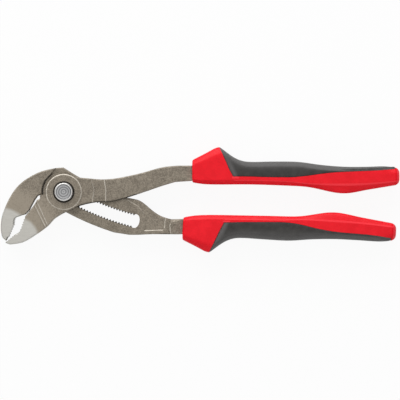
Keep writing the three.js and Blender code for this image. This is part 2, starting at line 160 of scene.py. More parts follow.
def merge_corners(piece):
    open_for_edit(piece)
    bpy.ops.mesh.select_all(action="SELECT")
    bpy.ops.mesh.remove_doubles(threshold=MERGED_WITHIN * mm)
    close_edit()


def face_outwards():
    bpy.ops.mesh.select_all(action="SELECT")
    bpy.ops.mesh.normals_make_consistent(inside=False)
    bpy.ops.mesh.select_all(action="DESELECT")


def turn_outwards(piece):
    open_for_edit(piece)
    face_outwards()
    close_edit()


def placed(name, mesh):
    """A new object in the scene"""
    piece = bpy.data.objects.new(name, mesh)
    bpy.context.collection.objects.link(piece)
    return piece


def copy_of_solid(node, name):
    """A copy of a solid, without its material and with its corners joined"""
    piece = placed(name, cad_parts[node].data.copy())
    piece.data.materials.clear()
    merge_corners(piece)
    return piece


def cut_away(piece, floor):
    """Cuts away what lies above a floor on the front, and the same on the back"""
    count = len(floor)
    for side in (1, -1):
        corners = [(x * mm, y * mm, (MID_PLANE + side * high) * mm) for x, y, high in floor]
        corners += [(x * mm, y * mm, (MID_PLANE + side * CLEAR_OF_ALL) * mm) for x, y, _ in floor]
        walls = [(i, (i + 1) % count, count + (i + 1) % count, count + i) for i in range(count)]
        mesh = bpy.data.meshes.new("cutter")
        mesh.from_pydata(corners, [], [range(count), range(count, 2 * count), *walls])
        cutter = placed("cutter", mesh)
        turn_outwards(cutter)
        apply_modifier(piece, "BOOLEAN", operation="DIFFERENCE", object=cutter, solver="EXACT")
        bpy.data.objects.remove(cutter)


def forging(node, cuts):
    """A copy of the lever's solid, cut to its floors and with its flat faces whole"""
    blank = copy_of_solid(node, f"{node}_forging")
    for floor in cuts:
        cut_away(blank, floor)
    merge_corners(blank)
    blank.data.attributes.new("wear_and_shade", "FLOAT", "FACE")
    open_for_edit(blank)
    bpy.ops.mesh.customdata_custom_splitnormals_clear()
    bpy.ops.mesh.select_all(action="SELECT")
    bpy.ops.mesh.dissolve_limited(angle_limit=math.radians(FLAT_WITHIN))
    close_edit()
    return blank


def rim_wall(edge):
    """The upright face of an edge where a flat turns down over a corner, or None"""
    if len(edge.link_faces) != 2 or not edge.is_convex:
        return None
    first, second = sorted(edge.link_faces, key=lambda face: abs(face.normal.z))
    upright = abs(first.normal.z) < UPRIGHT
    level = abs(second.normal.z) > LEVEL
    return first if upright and level else None


def is_tooth(edge, rims):
    """Whether a rim turns sharply at either end of a short edge, as it does along the teeth"""
    if edge.calc_length() > TOOTH_EDGE * mm:
        return False
    for corner in edge.verts:
        along = (edge.other_vert(corner).co - corner.co).normalized()
        for other in corner.link_edges:
            if other == edge or other not in rims:
                continue
            onward = (corner.co - other.other_vert(corner).co).normalized()
            if along.angle(onward) > math.radians(TOOTH_TURN):
                return True
    return False


def room_inwards(corner, flat, normal):
    """How far a flat reaches inwards from a corner of its rim, up to the next edge across it"""
    room = CLEAR_OF_ALL
    for edge in flat.edges:
        level = all(abs(face.normal.z) > LEVEL for face in edge.link_faces)
        if corner in edge.verts or level:
            continue
        nearest, share = intersect_point_line(corner.co, edge.verts[0].co, edge.verts[1].co)
        if share < 0 or share > 1:
            nearest = edge.verts[round(min(max(share, 0), 1))].co
        across = (nearest - corner.co).xy
        if -across.dot(normal) > ACROSS_FLAT * across.length:
            room = min(room, across.length / mm)
    return room


def find_rims(shape, stays_sharp):
    """The ends of every outer rim: its place, height, facing and wall, and how far it is drawn in"""
    walls = {edge: rim_wall(edge) for edge in shape.edges if rim_wall(edge)}
    rims = []
    for edge, wall in walls.items():
        height = edge.verts[0].co.z / mm
        flat = next(face for face in edge.link_faces if face != wall)
        facing = 1 if flat.normal.z > 0 else -1
        if (height - MID_PLANE) * facing < 0 or is_tooth(edge, walls) or stays_sharp(edge):
            continue
        heights = [corner.co.z / mm for corner in wall.verts]
        drop = max(heights) - min(heights)
        if height > BOSS_FLOOR + MARGIN and edge.verts[0].co.xy.length > BOSS_RIM * mm:
            drop = height - BOSS_FLOOR
        is_step = drop < STEP_HEIGHT
        normal = wall.normal.xy.normalized()
        for corner in edge.verts:
            room = ROOM_SHARE * room_inwards(corner, flat, normal)
            reach = min(STEP_SLOPE if is_step else EDGE_ROUND, room)
            chamfer = min(drop, STEP_CHAMFER) if is_step else 0
            rims.append((corner.co.xy.copy(), height, facing, normal, chamfer, reach))
    return rims


def pull_in(rim, height):
    """How far a rim draws in a corner at some height under it, in millimetres"""
    _, top, facing, _, chamfer, reach = rim
    depth = (top - height) * facing
    if depth < -SLACK or depth > (chamfer or EDGE_ROUND):
        return 0
    if chamfer:
        return reach * (1 - max(depth, 0) / chamfer)
    rest = EDGE_ROUND - max(depth, 0)
    return reach * (1 - math.sqrt(1 - (rest / EDGE_ROUND) ** 2))


def joint_pull(pulls):
    """The move that takes a corner in from each of its walls"""
    if not pulls:
        return Vector((0, 0))
    first, first_pull = max(pulls, key=lambda pull: pull[1])
    second, second_pull = min(pulls, key=lambda pull: pull[0].dot(first))
    second_pull = max(pull for normal, pull in pulls if normal.dot(second) > SAME_FACING)
    area = first.x * second.y - first.y * second.x
    if abs(area) < NEARLY_PARALLEL:
        return (first * first_pull + second * second_pull) / 2
    x = (first_pull * second.y - second_pull * first.y) / area
    y = (second_pull * first.x - first_pull * second.x) / area
    move = Vector((x, y))
    return move * min(1, 2 * first_pull / move.length)


def is_slope(face, step_facings):
    """Whether two corners of a face lie on a step that faces the way it does"""
    facing = face.normal.xy.normalized()
    steps = [step_facings.get(corner, []) for corner in face.verts]
    on_step = [any(normal.dot(facing) > SLOPE_FACING for normal in normals) for normals in steps]
    return sum(on_step) > 1


def draw_in(piece, stays_sharp, painted_shade, rubbed):
    """Draws the rims in: low steps become slopes that are rubbed bright, outer edges go round, and
    faces where shade falls get painted shade
    """
    open_for_edit(piece)
    rims = find_rims(bmesh.from_edit_mesh(piece.data), stays_sharp)
    planes = {BOSS_FLOOR}
    for _, height, facing, _, chamfer, _ in rims:
        depths = [chamfer] if chamfer else [EDGE_ROUND * share for share in ROUND_SHARES]
        planes |= {round(height - facing * depth, 3) for depth in depths}
    for height in sorted(planes):
        bpy.ops.mesh.select_all(action="SELECT")
        bpy.ops.mesh.bisect(
            plane_co=(0, 0, height * mm), plane_no=(0, 0, 1), threshold=SLICED_WITHIN * mm,
        )
    places = KDTree(len(rims))
    for i, rim in enumerate(rims):
        places.insert((*rim[0], 0), i)
    places.balance()
    shape = bmesh.from_edit_mesh(piece.data)
    step_facings = {}
    for corner in shape.verts:
        height = corner.co.z / mm
        pulls = []
        for _, i, _ in places.find_range((corner.co.x, corner.co.y, 0), SAME_PLACE * mm):
            pull = pull_in(rims[i], height)
            if pull > 0:
                pulls.append((rims[i][3], pull))
            if pull > 0 and rims[i][4]:
                step_facings.setdefault(corner, []).append(rims[i][3])
        corner.co.xy -= joint_pull(pulls) * mm
    wear_and_shade = shape.faces.layers.float["wear_and_shade"]
    for face in shape.faces:
        face.normal_update()
        tilt = abs(face.normal.z)
        # a face where shade falls gets painted shade, kept as a negative value of the attribute
        if painted_shade(face):
            face[wear_and_shade] = -painted_shade(face)
        elif tilt < SLOPING and is_slope(face, step_facings):
            face[wear_and_shade] = rubbed(face)
            for edge in face.edges:
                edge.smooth = all(abs(other.normal.z) < SLOPING for other in edge.link_faces)
        elif UPRIGHT < tilt < SLOPING:
            face[wear_and_shade] = EDGE_WEAR
    bmesh.update_edit_mesh(piece.data)
    bpy.ops.mesh.select_all(action="SELECT")
    bpy.ops.mesh.dissolve_degenerate(threshold=TOUCHING * mm)
    close_edit()


def noise(material, place, scale, detail=3.0, roughness=0.6):
    node = material.node_tree.nodes.new("ShaderNodeTexNoise")
    node.inputs["Scale"].default_value = scale
    node.inputs["Detail"].default_value = detail
    node.inputs["Roughness"].default_value = roughness
    material.node_tree.links.new(place, node.inputs["Vector"])
    return node.outputs["Fac"]


def remap(material, value, span, onto):
    """A value moved smoothly from one span onto another"""
    node = material.node_tree.nodes.new("ShaderNodeMapRange")
    node.interpolation_type = "SMOOTHSTEP"
    for socket, number in zip(node.inputs[1:5], (*span, *onto)):
        socket.default_value = number
    material.node_tree.links.new(value, node.inputs["Value"])
    return node.outputs["Result"]


def sums(material, operation, first, second):
    node = material.node_tree.nodes.new("ShaderNodeMath")
    node.operation = operation
    for socket, value in zip(node.inputs, (first, second)):
        if isinstance(value, (int, float)):
            socket.default_value = value
        else:
            material.node_tree.links.new(value, socket)
    return node.outputs["Value"]


def weighed(material, first, first_share, second, second_share):
    """The sum of two values, each times its share"""
    return sums(
        material, "ADD",
        sums(material, "MULTIPLY", first, first_share),
        sums(material, "MULTIPLY", second, second_share),
    )


def mixed(material, factor, first, second):
    node = material.node_tree.nodes.new("ShaderNodeMix")
    node.data_type = "RGBA"
    material.node_tree.links.new(factor, node.inputs["Factor"])
    for socket, colour in ((node.inputs[6], first), (node.inputs[7], second)):
        if isinstance(colour, tuple):
            socket.default_value = colour
        else:
            material.node_tree.links.new(colour, socket)
    return node.outputs[2]


def bumped(material, height, strength, distance):
    node = material.node_tree.nodes.new("ShaderNodeBump")
    node.inputs["Strength"].default_value = strength
    node.inputs["Distance"].default_value = distance * mm
    material.node_tree.links.new(height, node.inputs["Height"])
    return node.outputs["Normal"]


def finish_for(name):
    """A new material, its shader and its Object coordinates"""
    material = bpy.data.materials.new(name)
    material.use_nodes = True
    place = material.node_tree.nodes.new("ShaderNodeTexCoord").outputs["Object"]
    return material, material.node_tree.nodes["Principled BSDF"], place


def stretched(material, place, turn, scale):
    node = material.node_tree.nodes.new("ShaderNodeMapping")
    node.inputs["Rotation"].default_value = (0, 0, math.radians(turn))
    node.inputs["Scale"].default_value = scale
    material.node_tree.links.new(place, node.inputs["Vector"])
    return node.outputs["Vector"]


def from_axis(material, place, x, y):
    """The distance from an upright line, seen from above"""
    flat = stretched(material, place, 0, (1, 1, 0))
    away = material.node_tree.nodes.new("ShaderNodeVectorMath")
    away.operation = "DISTANCE"
    away.inputs[1].default_value = (x * mm, y * mm, 0)
    material.node_tree.links.new(flat, away.inputs[0])
    return away.outputs["Value"]


def near_axis(material, place, x, y, radius, soft):
    """1 inside a round area seen from above, 0 outside it, with a soft ragged edge"""
    ragged = sums(material, "MULTIPLY", noise(material, place, MARK_SCALE, detail=4), RAGGED_EDGE * mm)
    reach = sums(material, "ADD", from_axis(material, place, x, y), ragged)
    edge = radius + RAGGED_EDGE / 2
    return remap(material, reach, span=((edge - soft) * mm, (edge + soft) * mm), onto=(1, 0))


def forged_steel(name, ground, grind_turn):
    steel, shader, place = finish_for(name)
    links = steel.node_tree.links
    patches = noise(steel, place, PATCH_SCALE, detail=5, roughness=0.65)
    grain = noise(steel, place, GRAIN_SCALE, detail=5, roughness=0.8)
    scale_marks = noise(steel, place, MARK_SCALE, detail=5, roughness=0.7)
    tone = weighed(steel, patches, PATCH_SHARE, grain, GRAIN_SHARE)
    tone = sums(steel, "ADD", tone, sums(steel, "MULTIPLY", scale_marks, MARK_SHARE))
    x, y, radius = ground
    # painted light: the steel is lightened round the ground jaw
    painted_jaw_light = near_axis(steel, place, x, y, radius + JAW_LIGHT_REACH, JAW_LIGHT_FADE)
    shade = sums(steel, "ADD", tone, sums(steel, "MULTIPLY", painted_jaw_light, JAW_LIGHT_SHARE))
    paleness = remap(steel, shade, span=FORGED_SPAN, onto=(0, 1))
    forged = mixed(steel, paleness, FORGED_DARK, FORGED_LIGHT)
    edge = steel.node_tree.nodes.new("ShaderNodeAttribute")
    edge.attribute_name = "wear_and_shade"
    rubbed = sums(steel, "MAXIMUM", edge.outputs["Fac"], 0)
    patchy = remap(steel, scale_marks, span=(0.3, 0.6), onto=(0.6, 1))
    worn = sums(steel, "MULTIPLY", rubbed, patchy)
    forged = mixed(steel, worn, forged, RUBBED_STEEL)
    grinding = noise(steel, stretched(steel, place, grind_turn, GRIND_STRETCH), scale=1)
    bright = mixed(steel, grinding, GROUND_DARK, GROUND_LIGHT)
    ground_here = near_axis(steel, place, *ground, GRIND_FADE)
    # the attribute's negative part is painted shade, mixed towards a dark colour
    shade_share = sums(steel, "MAXIMUM", sums(steel, "MULTIPLY", edge.outputs["Fac"], -1), 0)
    unpainted_colour = mixed(steel, ground_here, forged, bright)
    links.new(mixed(steel, shade_share, unpainted_colour, PAINTED_SHADE_STEEL), shader.inputs["Base Color"])
    rough = remap(steel, tone, span=(0.3, 0.7), onto=FORGED_ROUGHNESS)
    rough = sums(steel, "SUBTRACT", rough, sums(steel, "MULTIPLY", ground_here, GROUND_POLISH))
    links.new(rough, shader.inputs["Roughness"])
    metal = remap(steel, worn, span=(0.2, 0.9), onto=FORGED_METAL)
    links.new(metal, shader.inputs["Metallic"])
    relief = weighed(steel, grain, GRAIN_RELIEF, scale_marks, MARK_RELIEF)
    links.new(bumped(steel, relief, strength=0.4, distance=0.12), shader.inputs["Normal"])
    return steel


def finish_forging(node, body, steel, painted_shade, rubbed, cuts=(), stays_sharp=lambda edge: False):
    lever = forging(node, cuts)
    draw_in(lever, stays_sharp, painted_shade, rubbed)
    lever.data.materials.append(steel)
    smooth(lever, FORGED_SMOOTH)
    apply_modifier(lever, "WEIGHTED_NORMAL", keep_sharp=True, weight=NORMAL_WEIGHT)
    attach(lever, body)
    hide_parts(node)


def painted_shade_on_cheek(face):
    """How much painted shade a face gets: round the button's bore, and on the arm's edge that faces
    down over the band
    """
    middle = face.calc_center_median() / mm
    tilt = abs(face.normal.z)
    if tilt > SLOPING:
        return 0
    if middle.xy.length < BORE_RIM and middle.z > MID_PLANE + BORE_ABOVE:
        return BORE_PAINTED_SHADE
    # painted shade on faces turned down towards the band, away from the light
    faces_band = face.normal.xy.normalized().y < SHADED_FACING and middle.xy.length > RING_OUTSIDE
    if faces_band and SHADED_EDGE_SPAN[0] < middle.x < SHADED_EDGE_SPAN[1]:
        return SIDE_PAINTED_SHADE if tilt < SIDE_TILT else TOP_PAINTED_SHADE
    return 0


def rubbed_on_arm(face):
    """How far a step's edge is rubbed bright: the arm's first step is the least"""
    along = face.calc_center_median().x / mm
    return FIRST_STEP_RUBBED if FIRST_STEP[0] < along < FIRST_STEP[1] else 1.0


upper_steel = forged_steel("forged_steel_upper", LOWER_JAW_GROUND, LOWER_GRIND_TURN)
finish_forging("upper_lever", "upper_handle", upper_steel, painted_shade_on_cheek, rubbed_on_arm)

# Lower lever: the other forging, with the upper jaw, the thin toothed band that slides through the
# box joint, and the neck that runs into the lower grip. The jaw's end is ground like its partner's.
# Shade is painted dark in the slot's teeth and walls and in the groove by the shoulder.
UPPER_JAW_GROUND = (-42.0, -34.2, 24.7)
UPPER_GRIND_TURN = -20
SLOT_CENTRE = (84.24, 141.876)
SLOT_RADIUS = 165
SLOT_HALF = 5
SLOT_FROM = -12
SLOT_TO = 52
PANEL_FLOOR = 3.05
PANEL = [
    (37, -3.0), (42.9, -6.4), (46.5, -8.5), (48.7, -10.9), (50.3, -13.3), (51.1, -15.8),
    (50.7, -20.2), (50.5, -24.1), (62, -23.7), (63, -22.7), (63.2, -18.6), (64.5, -10), (37, 6),
]
NECK_RIDGE = [(66.6, -19.8), (75, -17.5)]
NECK_HALF = 4.4
FACET_REACH = 4
FACET_DROP = 1.6
SLOT_RECESS = (4.3, 3.0)
SLOT_TURN = (-119.5, -104.0)
SHOULDER_GROOVE = (13.2, 14.0, 2.5)
SHOULDER_TURN = (122, 187)
SHOULDER_HALF = 4.2
SECTOR_STEPS = 20
# Painted shade laid in the slot and in the groove by the shoulder
JOINT_PAINTED_SHADE = 0.75
HUMP_ABOVE = -17
HUMP_RUBBED = 0.4
NECK_RUBBED = 0.8


def in_slot(edge):
    """Whether an edge lies in the curved slot, whose toothed sides stay sharp"""
    middle = (edge.verts[0].co + edge.verts[1].co) / 2
    reach = math.hypot(middle.x - SLOT_CENTRE[0] * mm, middle.y - SLOT_CENTRE[1] * mm)
    across = abs(reach - SLOT_RADIUS * mm)
    return across < SLOT_HALF * mm and SLOT_FROM * mm < middle.x < SLOT_TO * mm


def arc(centre, radius, start, end):
    x, y = centre
    turns = [math.radians(start + (end - start) * i / SECTOR_STEPS) for i in range(SECTOR_STEPS + 1)]
    return [(x + radius * math.cos(turn), y + radius * math.sin(turn)) for turn in turns]


def sector(centre, inner, outer, turns, high):
    """A floor between two arcs"""
    plan = arc(centre, outer, *turns) + arc(centre, inner, *reversed(turns))
    return [(x, y, high) for x, y in plan]


def painted_shade_in_joint(face):
    """How much painted shade a face gets: the slot's teeth and walls, and the groove by the shoulder
    """
    middle = face.calc_center_median() / mm
    across = abs((middle.xy - Vector(SLOT_CENTRE)).length - SLOT_RADIUS)
    half, floor = SLOT_RECESS
    away = abs(middle.z - MID_PLANE)
    in_band = away < floor + MARGIN and SLOT_FROM < middle.x < SLOT_TO
    if across < half + 2 * MARGIN and in_band:
        return JOINT_PAINTED_SHADE
    inner, outer, _ = SHOULDER_GROOVE
    turn = math.degrees(math.atan2(middle.y, middle.x)) % 360
    in_turn = SHOULDER_TURN[0] < turn < SHOULDER_TURN[1]
    in_groove = inner < middle.xy.length < outer + MARGIN and in_turn
    return JOINT_PAINTED_SHADE if in_groove and away < SHOULDER_HALF else 0


def rubbed_on_hump(face):
    """How far a step's edge is rubbed bright: less round the hump than along the neck"""
    middle = face.calc_center_median() / mm
    return HUMP_RUBBED if middle.y > HUMP_ABOVE else NECK_RUBBED


def neck_facet():
    """The sloping facet along the neck, from its ridge down past its upper edge"""
    start, end = [Vector(point) for point in NECK_RIDGE]
    outwards = (end - start).orthogonal().normalized() * FACET_REACH
    far_end, far_start = end + outwards, start + outwards
    low = NECK_HALF - FACET_DROP
    return [(*start, NECK_HALF), (*end, NECK_HALF), (*far_end, low), (*far_start, low)]


panel = [(x, y, PANEL_FLOOR) for x, y in PANEL]
slot_half, slot_floor = SLOT_RECESS
slot_edge = SLOT_RADIUS - slot_half
tooth_floor = sector(SLOT_CENTRE, slot_edge, SLOT_RADIUS + slot_half, SLOT_TURN, slot_floor)
groove_in, groove_out, groove_floor = SHOULDER_GROOVE
shoulder_groove = sector((0, 0), groove_in, groove_out, SHOULDER_TURN, groove_floor)
lower_steel = forged_steel("forged_steel_lower", UPPER_JAW_GROUND, UPPER_GRIND_TURN)
finish_forging(
    "lower_lever", "lower_handle", lower_steel, painted_shade_in_joint, rubbed_on_hump,
    cuts=(panel, neck_facet(), tooth_floor, shoulder_groove), stays_sharp=in_slot,
)

# Pivot pin: a turned steel pin with a flat flange on the far cheek, faced on the lathe and plated.
# The block that slides in the slot is pressed on it, and its bore holds the button's spring.
PLATED_DARK = (0.15, 0.152, 0.156, 1)
PLATED_LIGHT = (0.47, 0.47, 0.47, 1)
# Painted highlight on the rounded rims of the pin's flange and the button
PAINTED_RIM_HIGHLIGHT = (0.66, 0.65, 0.63, 1)
PLATED_METAL = 0.9
PLATED_ROUGHNESS = (0.28, 0.42)
LATHE_PITCH = 1.5
LATHE_WOBBLE = 2.2
WAVE_UNIT = 10
RING_SHARE = 0.75
SMEAR_SHARE = 0.25
SMEAR_SCALE = 900
HIGHLIGHT_FADE = 0.15
PIN_SEGMENTS = 96
TURNED_SMOOTH = 35
CENTRE_MARK = [(0, 0.0), (1.1, 0.0), (1.35, 0.3), (1.7, 0.3), (1.95, 0.0)]
FLANGE_RIM = 0.9
FLANGE_THICKNESS = 1.7
FLANGE_ROUND = [
    (FLANGE_RIM, 0.0), (0.45, 0.12), (0.12, 0.42), (0, 0.8), (0, 1.55), (0.12, FLANGE_THICKNESS),
]
JOURNAL = 4.5
JOURNAL_TOP = 4.95
SPIGOT = 2.9
SPRING_BORE = 1.75
SPRING_FLOOR = 1.2


def turned_steel(name, rim):
    """Plated steel with the rings of the lathe, and a painted highlight outside the radius of its rim
    """
    steel, shader, place = finish_for(name)
    links = steel.node_tree.links
    flat = stretched(steel, place, 0, (1, 1, 0))
    rings = steel.node_tree.nodes.new("ShaderNodeTexWave")
    rings.wave_type = "RINGS"
    rings.rings_direction = "SPHERICAL"
    rings.inputs["Scale"].default_value = math.pi / (WAVE_UNIT * LATHE_PITCH * mm)
    rings.inputs["Distortion"].default_value = LATHE_WOBBLE
    links.new(flat, rings.inputs["Vector"])
    lathe_marks = rings.outputs["Fac"]
    smear = noise(steel, place, SMEAR_SCALE, detail=4)
    tone = weighed(steel, lathe_marks, RING_SHARE, smear, SMEAR_SHARE)
    face_colour = mixed(steel, tone, PLATED_DARK, PLATED_LIGHT)
    reach = from_axis(steel, place, 0, 0)
    rim_highlight = remap(steel, reach, span=((rim - HIGHLIGHT_FADE) * mm, (rim + HIGHLIGHT_FADE) * mm), onto=(0, 1))
    links.new(mixed(steel, rim_highlight, face_colour, PAINTED_RIM_HIGHLIGHT), shader.inputs["Base Color"])
    rough = remap(steel, smear, span=(0.3, 0.7), onto=PLATED_ROUGHNESS)
    links.new(rough, shader.inputs["Roughness"])
    links.new(bumped(steel, lathe_marks, strength=0.5, distance=0.05), shader.inputs["Normal"])
    shader.inputs["Metallic"].default_value = PLATED_METAL
    return steel


def turned_piece(name, profile, steel):
    """A profile of radius and height, spun round the pivot"""
    mesh = bpy.data.meshes.new(name)
    corners = [(radius * mm, 0, height * mm) for radius, height in profile]
    mesh.from_pydata(corners, [(i, i + 1) for i in range(len(corners) - 1)], [])
    piece = placed(name, mesh)
    open_for_edit(piece, "VERT")
    bpy.ops.mesh.select_all(action="SELECT")
    bpy.ops.mesh.spin(steps=PIN_SEGMENTS, angle=2 * math.pi, center=(0, 0, 0), axis=(0, 0, 1))
    bpy.ops.mesh.select_all(action="SELECT")
    bpy.ops.mesh.remove_doubles(threshold=TOUCHING * mm)
    bpy.ops.mesh.normals_make_consistent(inside=False)
    close_edit()
    piece.data.materials.append(steel)
    smooth(piece, TURNED_SMOOTH)
    return piece


_, pin_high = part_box("pivot_pin")
flange = pin_high.x / mm
# the pin's flange carries a painted highlight on its rounded rim
plated_steel = turned_steel("turned_plated_steel", flange - FLANGE_RIM)
pin_top = pin_high.z / mm
pin_profile = CENTRE_MARK + [(flange - inwards, height) for inwards, height in FLANGE_ROUND]
pin_profile += [
    (JOURNAL, FLANGE_THICKNESS), (JOURNAL, JOURNAL_TOP), (SPIGOT, JOURNAL_TOP), (SPIGOT, pin_top),
    (SPRING_BORE, pin_top), (SPRING_BORE, SPRING_FLOOR), (0, SPRING_FLOOR),
]
pivot_pin = turned_piece("pivot_pin_turned", pin_profile, plated_steel)
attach(pivot_pin, "pivot")
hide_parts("pivot_pin")

# Guide block, locking key and clip: the pieces shut inside the joint, of plated steel.
# They keep the shapes that the joint needs and only take their finish here.
for inner_piece in ("guide_block", "locking_key", "key_clip"):
    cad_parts[inner_piece].material_slots[0].material = plated_steel

# Button spring: one wound steel wire in the pin's bore, between its floor and the button's stem.
SPRING_SMOOTH = 70

spring = copy_of_solid("button_spring", "button_spring_coil")
open_for_edit(spring)
bpy.ops.mesh.customdata_custom_splitnormals_clear()
close_edit()
spring.data.materials.append(plated_steel)
smooth(spring, SPRING_SMOOTH)
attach(spring, "pivot")
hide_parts("button_spring")
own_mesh(spring)

# Push button: a turned steel head, dished on its face with the marks of the lathe left in it,
# with a rounded rim that carries a painted highlight. Its stem goes down through the key to the
# spring.
BUTTON_RINGS = 3
RING_DEPTH = 0.06
DISH_DEPTH = 0.5
RIM_WIDTH = 1.25
RIM_SLOPE = (0.25, 0.12)
# how far past the dish the button's painted highlight begins
HIGHLIGHT_PAST_DISH = 0.4
RIM_ROUND = 0.6
RIM_STEPS = 4
SHOULDER_STEM = 2.5
STEM = 1.5
STEM_SHOULDER = 11.85
BUTTON_UNDERSIDE = 14.15
UNDERSIDE_BEVEL = 0.2

button_low, button_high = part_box("push_button")
button_radius = button_high.x / mm
button_top = button_high.z / mm
dish_radius = button_radius - RIM_WIDTH
button_profile = []
for ring in range(BUTTON_RINGS * 2):
    share = ring / (BUTTON_RINGS * 2)
    dish = button_top - DISH_DEPTH * (1 - share ** 2)
    button_profile.append((dish_radius * share, dish - (RING_DEPTH if ring % 2 else 0)))
slope_out, slope_down = RIM_SLOPE
button_profile += [(dish_radius, button_top - slope_down), (dish_radius + slope_out, button_top)]
for step in range(RIM_STEPS + 1):
    turn = math.radians(90 - 90 * step / RIM_STEPS)
    button_profile.append((
        button_radius - RIM_ROUND + RIM_ROUND * math.cos(turn),
        button_top - RIM_ROUND + RIM_ROUND * math.sin(turn),
    ))
button_profile += [
    (button_radius, BUTTON_UNDERSIDE + UNDERSIDE_BEVEL),
    (button_radius - UNDERSIDE_BEVEL, BUTTON_UNDERSIDE),
    (SHOULDER_STEM, BUTTON_UNDERSIDE), (SHOULDER_STEM, STEM_SHOULDER), (STEM, STEM_SHOULDER),
    (STEM, button_low.z / mm), (0, button_low.z / mm),
]
button_steel = turned_steel("button_steel", dish_radius + HIGHLIGHT_PAST_DISH)
push_button = turned_piece("push_button_turned", button_profile, button_steel)
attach(push_button, "button")
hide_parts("push_button")

# Grips: each is a hard red sleeve moulded on the tang, with a thumb stop at the front, bevelled
# flanks and a swell near the end, and a soft dark grey pad moulded into its outer side.
RED_DEEP = (0.78, 0.002, 0.011, 1)
RED_BRIGHT = (0.87, 0.004, 0.015, 1)
# Painted highlight: a lighter red along the inner bevel, by the pad's front corner and over the tail
# end
RED_PAINTED_HIGHLIGHT = (0.93, 0.03, 0.045, 1)
RED_SPAN = (0.35, 0.65)
RED_ROUGHNESS = (0.46, 0.36)
RED_SOFT_SHARE = 0.7
RED_FINE_SHARE = 0.3
RED_SPECULAR = 0.22
GREY_DEEP = (0.0095, 0.0083, 0.007, 1)
GREY_PALE = (0.029, 0.0262, 0.0228, 1)
# Painted light on the pad: its outer facet, its front edge and its rear end are laid lighter
GREY_PAINTED_LIGHT = (0.088, 0.085, 0.083, 1)
GREY_SPAN = (0.32, 0.68)
GREY_ROUGHNESS = (0.66, 0.52)
GREY_SOFT_SHARE = 0.5
GREY_FINE_SHARE = 0.5
GREY_SPECULAR = 0.5
GREY_SHEEN = 0.35
GREY_SHEEN_ROUGHNESS = 0.45
FACET_PAINTED_LIGHT = (1, 1, 1, 1, 0.95, 0.75, 0.48, 0.18, 0.04)
PAINTED_LIGHT_FRONT = 3.4
FRONT_LIGHT_OVER = 1.2
FRONT_PAINTED_LIGHT = 0.9
PAINTED_LIGHT_REAR = (115, 125)
REAR_PAINTED_LIGHT = 0.8
GRIP_LENGTH = 131
GRIP_DEPTH = 17
TAIL_START = 95
GRIP_OUTER = [
    (0, 8.2), (9, 12.8), (15.5, 16.2), (18, 16.2), (24.9, 10.9), (32.5, 7.5),
    (50, 7.4), (67, 7.2), (81, 5.3), (96, 4.1), (111, 4.1), (122, 4.4), (131, 3.1),
]
GRIP_INNER = [
    (0, -5.8), (9, -7.0), (37, -7.1), (61, -7.9), (74, -8.8), (95, -12.8), (111, -10.4), (131, -7.1),
]
GRIP_SLIMMING = [(0, 0.9), (17, 0), (33, 0.9), (66, 0.7), (95, 0), (111, 0.6), (131, 1.5)]
INNER_BEVEL = [
    (0, -4.0), (9, -4.4), (37, -4.5), (61, -5.3), (74, -6.7), (95, -7.2), (111, -6.8), (131, -5.0),
]
PAD_FRONT = [(-1.5, 25.6), (2.2, 23.4), (8.9, 20.6), (16.4, 17.2)]
PAD_FROM = 25.6
PAD_TO = 128
SLANT_ENDS = 58
OUTER_BEVEL = 3.0
OUTER_DROP = 2.6
COLLAR_BEVEL = 0.15
COLLAR_FROM = 8
INNER_DROP = 1.9
BEVEL_LEAST = 0.2
BEVEL_MOST = 0.7
BEVEL_LINE = 0.04
FIRST_SHARE = 0.03
SEAM_SHARE = 0.96
FLAT_PARTS = 4
SETTLING_ROUNDS = 25
MOUTH_INSET = 0.6
RECESS = 2.6
PAD_THICKNESS = 1.6
PAD_SUNK = 0.5
PAD_RAMP = 3.5
PAD_PROUD = 0.12
SEAM_SUNK = 0.3
PAD_END_SUNK = 0.4
SOCKET_WIDTH = 10.3
SOCKET_GAP = 0.7
SOCKET_DEEP = 3.5
SIDE_SHARES = (0, 0.4, 0.8)
PAD_COLUMN = len(SIDE_SHARES) + 8
HIGHLIGHT_COLUMN = len(SIDE_SHARES) + 12.5
SEAM_HIGHLIGHT_RINGS = 3
SEAM_HIGHLIGHT_COLUMNS = 2
TAIL_ROUND = ((0.9, 0.35), (1.8, 1.05), (2.5, 2.1), (2.8, 3.3))
RING_STEPS = (
    [0, 0.7, 2.5, 5, 8, 11, 14, 17, 20, 23, PAD_FROM, 26.1, 27.5, 29.5, 32, 35]
    + [38 + 4 * i for i in range(22)]
    + [125, 127.2, PAD_TO]
)
PAD_RINGS = (RING_STEPS.index(PAD_FROM), RING_STEPS.index(PAD_TO))
SKIN_LEVELS = 2
KEY_DIGITS = 7
SLEEVE_SMOOTH = 45
PAD_SMOOTH = 50
SOFT_SPREAD = 9
SOFT_RELIEF = 0.8


def read_edge(points, along):
    """A smooth curve through a few points, read at one place"""
    last = len(points) - 1
    i = 0
    while i < last - 1 and along > points[i + 1][0]:
        i += 1
    (x0, y0), (x1, y1) = points[i], points[i + 1]

    def slope(k):
        before, after = points[max(k - 1, 0)], points[min(k + 1, last)]
        return (after[1] - before[1]) / (after[0] - before[0])

    span = x1 - x0
    t = min(max((along - x0) / span, 0), 1)
    ease = t * t * (3 - 2 * t)
    start = slope(i) * span * t * (1 - t) ** 2
    end = slope(i + 1) * span * t * t * (1 - t)
    return y0 + (y1 - y0) * ease + start - end


def straight_edge(points, along):
    """Straight runs through a few points, read at one place"""
    for (x0, y0), (x1, y1) in zip(points, points[1:]):
        if along <= x1:
            return y0 + (y1 - y0) * max(along - x0, 0) / (x1 - x0)
    return points[-1][1]


